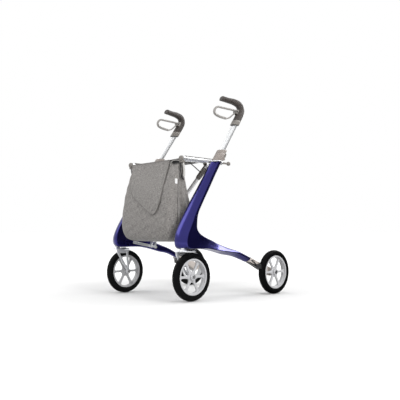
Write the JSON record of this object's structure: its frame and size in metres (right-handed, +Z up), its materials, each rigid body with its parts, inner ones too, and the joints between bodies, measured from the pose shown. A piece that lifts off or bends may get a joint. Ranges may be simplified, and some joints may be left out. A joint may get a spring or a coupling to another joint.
{
  "type": "four-wheel rollator",
  "caption": "Open four-wheel rollator: moulded side frames, adjustable handles with loop brake levers, scissor cross bars, sling seat and front bag.",
  "frame": {"origin": "on the floor, under the middle of the frame's box", "axes": "+Z up, -Y the way the user walks, +X the user's left"},
  "size_m": [0.6004, 0.665, 0.8942],
  "materials": {
    "carbon_blue": "deep blue clear-coated moulding",
    "anodised_silver": "satin anodised",
    "steel": "zinc plated",
    "beige_plastic": "beige, fine grained",
    "taupe_plastic": "grey-brown, fine grained",
    "dark_rubber": "dark brown-grey, matt",
    "lever_grey": "grey, satin",
    "black_plastic": "black, fine grained",
    "rim_grey": "light grey, satin",
    "tyre_black": "black, matt",
    "grey_melange": "grey melange weave",
    "sling_brown": "dark brown-grey webbing cloth"
  },
  "bodies": {
    "frame_left": {"side_frame_left": "carbon_blue", "post_collar_left": "beige_plastic", "rail_saddle_left": "black_plastic", "brake_casing_left": "beige_plastic", "rear_axle_left": "steel", "fold_bracket_left": "anodised_silver", "fold_pin_left": "steel"},
    "bar_left": {"cross_bar_left": "anodised_silver", "bar_sleeve_left": "taupe_plastic", "cross_bolt": "steel"},
    "rail_left": {"seat_rail_left": "anodised_silver", "rail_connector_left": "taupe_plastic", "rail_knob_left": "black_plastic", "bag_hook_left": "black_plastic", "seat_sling": "sling_brown", "bag": "grey_melange", "tension_cord": "black_plastic"},
    "handle_left": {"handle_tube_left": "anodised_silver", "grip_left": "dark_rubber", "grip_collar_left": "taupe_plastic"},
    "clamp_left": {"clamp_lever_left": "taupe_plastic"},
    "cam_left": {"brake_cam_left": "lever_grey"},
    "lever_left": {"brake_lever_left": "lever_grey"},
    "rocker_left": {"brake_rocker_left": "steel"},
    "shoe_left": {"brake_shoe_left": "black_plastic"},
    "caster_left": {"caster_fork_left": "anodised_silver", "front_axle_left": "steel"},
    "front_wheel_left": {"front_rim_left": "rim_grey", "front_tyre_left": "tyre_black"},
    "rear_wheel_left": {"rear_rim_left": "rim_grey", "rear_tyre_left": "tyre_black"},
    "frame_right": {"side_frame_right": "carbon_blue", "post_collar_right": "beige_plastic", "rail_saddle_right": "black_plastic", "brake_casing_right": "beige_plastic", "rear_axle_right": "steel", "fold_bracket_right": "anodised_silver", "fold_pin_right": "steel"},
    "bar_right": {"cross_bar_right": "anodised_silver", "bar_sleeve_right": "taupe_plastic"},
    "rail_right": {"seat_rail_right": "anodised_silver", "rail_connector_right": "taupe_plastic", "rail_knob_right": "black_plastic", "bag_hook_right": "black_plastic"},
    "handle_right": {"handle_tube_right": "anodised_silver", "grip_right": "dark_rubber", "grip_collar_right": "taupe_plastic"},
    "clamp_right": {"clamp_lever_right": "taupe_plastic"},
    "cam_right": {"brake_cam_right": "lever_grey"},
    "lever_right": {"brake_lever_right": "lever_grey"},
    "rocker_right": {"brake_rocker_right": "steel"},
    "shoe_right": {"brake_shoe_right": "black_plastic"},
    "caster_right": {"caster_fork_right": "anodised_silver", "front_axle_right": "steel"},
    "front_wheel_right": {"front_rim_right": "rim_grey", "front_tyre_right": "tyre_black"},
    "rear_wheel_right": {"rear_rim_right": "rim_grey", "rear_tyre_right": "tyre_black"},
    "flap": {"bag_flap": "grey_melange"}
  },
  "joints": [
    {"name": "fold", "type": "hinge", "parent": "frame_left", "child": "bar_left", "pos_m": [0.1855, -0.123, 0.244], "axis": [0, 1, 0], "range_deg": [0, 42.2], "deforming": ["seat_sling", "bag", "bag_flap", "tension_cord"]},
    {"name": "bars_cross", "type": "hinge", "parent": "bar_left", "child": "bar_right", "pos_m": [0, -0.123, 0.4105], "axis": [0, 1, 0], "range_deg": [-84.5, 0.1]},
    {"name": "right_bracket_turn", "type": "hinge", "parent": "bar_right", "child": "frame_right", "pos_m": [-0.1855, -0.097, 0.244], "axis": [0, 1, 0], "range_deg": [-0.1, 42.3]},
    {"name": "left_rail_turn", "type": "hinge", "parent": "bar_right", "child": "rail_left", "pos_m": [0.1855, -0.097, 0.577], "axis": [0, 1, 0], "range_deg": [-0.1, 42.3]},
    {"name": "right_rail_turn", "type": "hinge", "parent": "bar_left", "child": "rail_right", "pos_m": [-0.1855, -0.123, 0.577], "axis": [0, 1, 0], "range_deg": [-42.3, 0.1]},
    {"name": "height_left", "type": "slide", "parent": "frame_left", "child": "handle_left", "axis": [-0.0296, 0.5677, 0.8227], "range_m": [-0.12, 0.1]},
    {"name": "clamp_left", "type": "hinge", "parent": "frame_left", "child": "clamp_left", "pos_m": [0.21631, -0.03655, 0.6035], "axis": [-1, 0, 0], "range_deg": [0, 95]},
    {"name": "park_left", "type": "hinge", "parent": "handle_left", "child": "cam_left", "pos_m": [0.2045, 0.064, 0.8325], "axis": [-1, 0, 0], "range_deg": [-15, 0]},
    {"name": "squeeze_left", "type": "hinge", "parent": "cam_left", "child": "lever_left", "pos_m": [0.2045, 0.064, 0.8325], "axis": [-1, 0, 0], "range_deg": [0, 12], "stiffness_Nm_per_rad": 0.5, "springref_deg": -5.73},
    {"name": "rocker_left", "type": "hinge", "parent": "frame_left", "child": "rocker_left", "pos_m": [0.2643, 0.109, 0.154], "axis": [1, 0, 0], "range_deg": [-0.1, 3.5]},
    {"name": "shoe_left", "type": "hinge", "parent": "rocker_left", "child": "shoe_left", "pos_m": [0.2643, 0.109, 0.154], "axis": [1, 0, 0], "range_deg": [-0.1, 3.5]},
    {"name": "swivel_left", "type": "hinge", "parent": "frame_left", "child": "caster_left", "pos_m": [0.2317, -0.2805, 0.214], "axis": [0, 0, 1], "continuous": true},
    {"name": "front_spin_left", "type": "hinge", "parent": "caster_left", "child": "front_wheel_left", "pos_m": [0.2317, -0.2325, 0.1], "axis": [1, 0, 0], "continuous": true},
    {"name": "rear_spin_left", "type": "hinge", "parent": "frame_left", "child": "rear_wheel_left", "pos_m": [0.2847, 0.2325, 0.1], "axis": [1, 0, 0], "continuous": true},
    {"name": "height_right", "type": "slide", "parent": "frame_right", "child": "handle_right", "axis": [0.0296, 0.5677, 0.8227], "range_m": [-0.12, 0.1]},
    {"name": "clamp_right", "type": "hinge", "parent": "frame_right", "child": "clamp_right", "pos_m": [-0.21631, -0.03655, 0.6035], "axis": [-1, 0, 0], "range_deg": [0, 95]},
    {"name": "park_right", "type": "hinge", "parent": "handle_right", "child": "cam_right", "pos_m": [-0.2045, 0.064, 0.8325], "axis": [-1, 0, 0], "range_deg": [-15, 0]},
    {"name": "squeeze_right", "type": "hinge", "parent": "cam_right", "child": "lever_right", "pos_m": [-0.2045, 0.064, 0.8325], "axis": [-1, 0, 0], "range_deg": [0, 12], "stiffness_Nm_per_rad": 0.5, "springref_deg": -5.73},
    {"name": "rocker_right", "type": "hinge", "parent": "frame_right", "child": "rocker_right", "pos_m": [-0.2643, 0.109, 0.154], "axis": [1, 0, 0], "range_deg": [-0.1, 3.5]},
    {"name": "shoe_right", "type": "hinge", "parent": "rocker_right", "child": "shoe_right", "pos_m": [-0.2643, 0.109, 0.154], "axis": [1, 0, 0], "range_deg": [-0.1, 3.5]},
    {"name": "swivel_right", "type": "hinge", "parent": "frame_right", "child": "caster_right", "pos_m": [-0.2317, -0.2805, 0.214], "axis": [0, 0, 1], "continuous": true},
    {"name": "front_spin_right", "type": "hinge", "parent": "caster_right", "child": "front_wheel_right", "pos_m": [-0.2317, -0.2325, 0.1], "axis": [1, 0, 0], "continuous": true},
    {"name": "rear_spin_right", "type": "hinge", "parent": "frame_right", "child": "rear_wheel_right", "pos_m": [-0.2847, 0.2325, 0.1], "axis": [1, 0, 0], "continuous": true},
    {"name": "flap_open", "type": "hinge", "parent": "rail_left", "child": "flap", "pos_m": [0, -0.239, 0.592], "axis": [-1, 0, 0], "range_deg": [0, 110]}
  ],
  "couplings": [
    {"joint": "bars_cross", "follows": "fold", "ratio": -2},
    {"joint": "right_bracket_turn", "follows": "fold", "ratio": 1},
    {"joint": "left_rail_turn", "follows": "fold", "ratio": 1},
    {"joint": "right_rail_turn", "follows": "fold", "ratio": -1},
    {"joint": "rocker_left", "follows": "park_left", "ratio": -0.22667},
    {"joint": "shoe_left", "follows": "squeeze_left", "ratio": 0.28333},
    {"joint": "rocker_right", "follows": "park_right", "ratio": -0.22667},
    {"joint": "shoe_right", "follows": "squeeze_right", "ratio": 0.28333}
  ]
}
